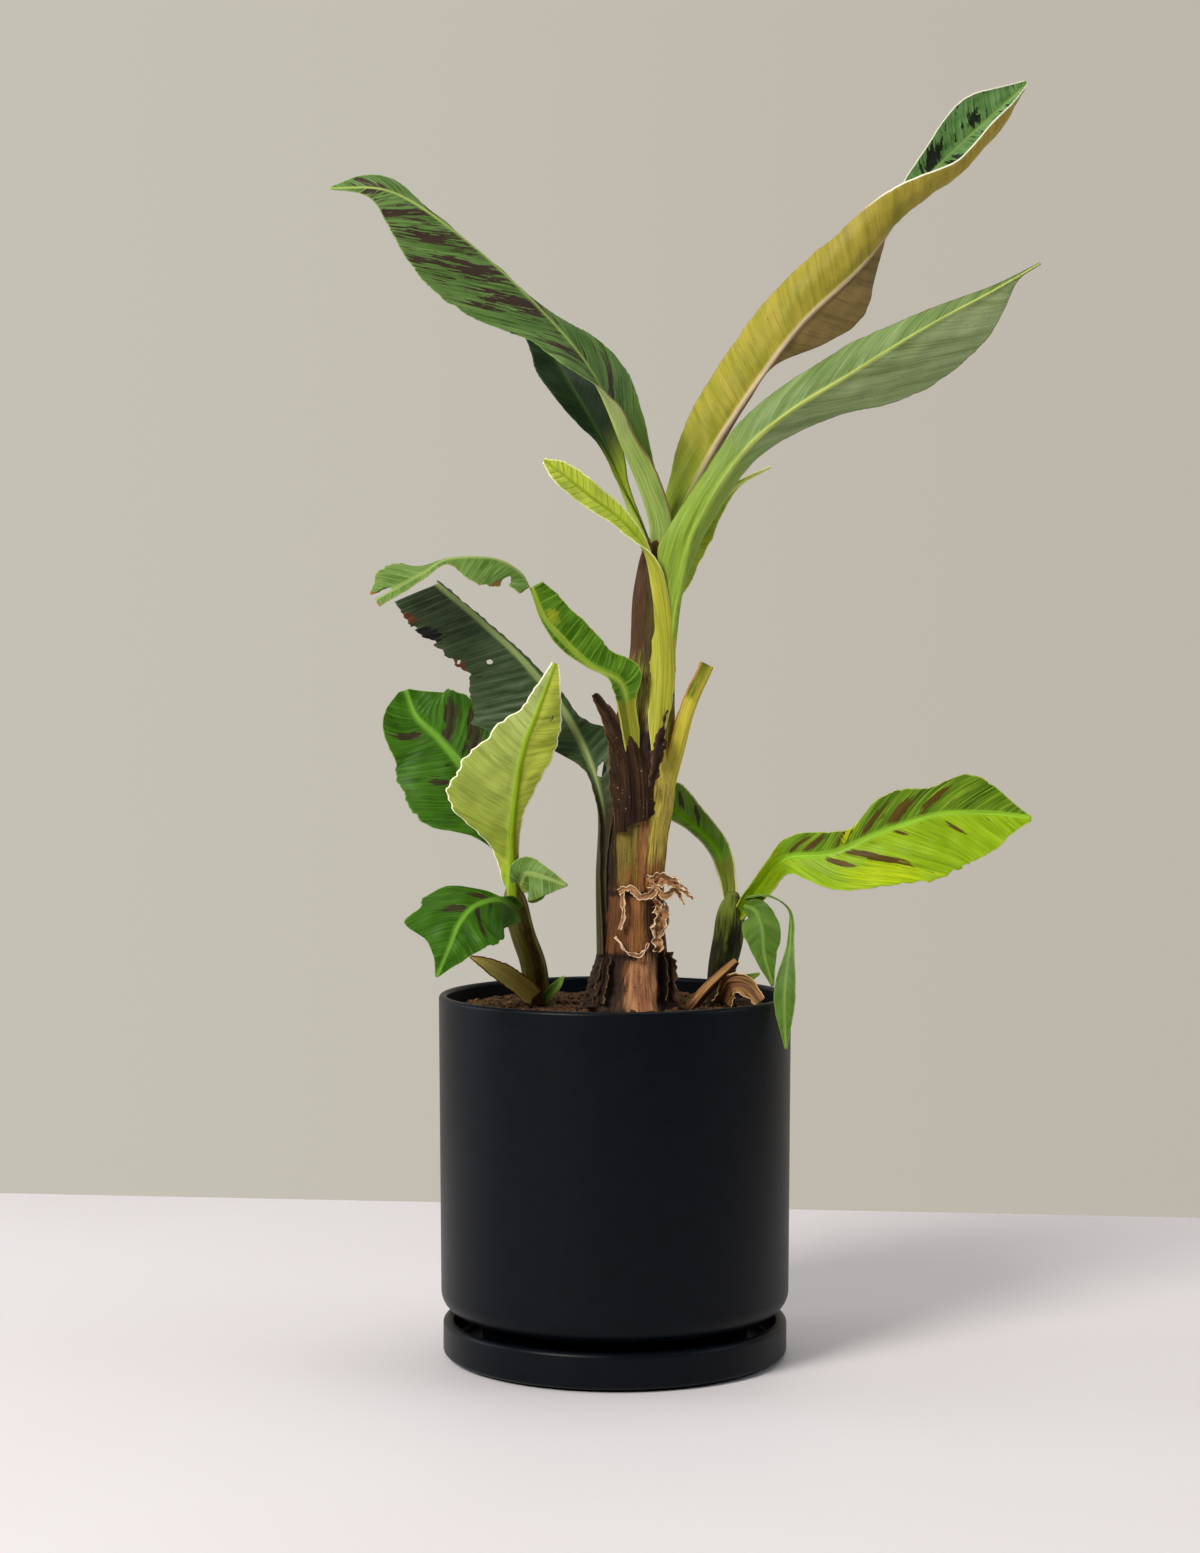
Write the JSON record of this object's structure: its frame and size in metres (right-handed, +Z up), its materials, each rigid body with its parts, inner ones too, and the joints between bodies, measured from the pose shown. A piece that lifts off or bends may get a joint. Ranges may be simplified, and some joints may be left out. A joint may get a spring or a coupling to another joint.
{
  "type": "potted banana plant",
  "caption": "Young banana plant with broad drooping leaves and side suckers, in a round glazed pot standing on a matching saucer.",
  "frame": {"origin": "middle of the flat underside of the saucer, where the plant stands on the floor", "axes": "+Z up along the pot's axis, +X to the viewer's right with the plant seen from the front, +Y away from the viewer"},
  "size_m": [0.5159, 0.26, 0.9557],
  "materials": {
    "glaze": "satin, very dark blue grey",
    "soil": "matte, moist potting soil",
    "bark": "matte, dried leaf sheaths",
    "green_stem": "satin, living leaf sheaths",
    "upper_green": "satin, upper face of a leaf",
    "dark_green": "satin, old leaf",
    "bright_green": "satin, young leaf",
    "underside": "matte, underside of a leaf",
    "yellow_underside": "matte, underside of a rolled leaf",
    "pale_underside": "satin, underside of a young leaf",
    "dried": "matte, dried sheath",
    "paper": "matte, papery peel",
    "straw": "matte, dry bract"
  },
  "bodies": {
    "root": {"saucer": "glaze", "pot": "glaze", "soil": "soil", "main_stem": "bark", "left_sucker_stem": "green_stem", "right_sucker_stem": "green_stem", "dry_stick": "paper", "leaf_right": "underside", "leaf_top_left": "upper_green", "leaf_top_right_rolled": "yellow_underside", "leaf_behind_left": "dark_green", "leaf_front_small": "bright_green", "leaf_behind_right_small": "bright_green", "arching_leaf_inner": "upper_green", "arching_leaf_outer": "upper_green", "leaf_dark_left": "dark_green", "cut_petiole": "pale_underside", "dried_sheath": "dried", "papery_curl": "paper", "papery_strand": "paper", "left_sucker_pale_leaf": "pale_underside", "left_sucker_broad_leaf": "upper_green", "left_sucker_small_leaf": "underside", "left_sucker_drooping_leaf": "upper_green", "right_sucker_bright_leaf": "bright_green", "right_sucker_back_leaf": "dark_green", "right_sucker_hanging_leaf": "dark_green", "right_sucker_long_leaf": "dark_green", "left_straw_bract": "straw", "left_green_bract": "dark_green", "right_dry_bract": "paper", "right_green_tip": "dark_green"}
  },
  "joints": []
}
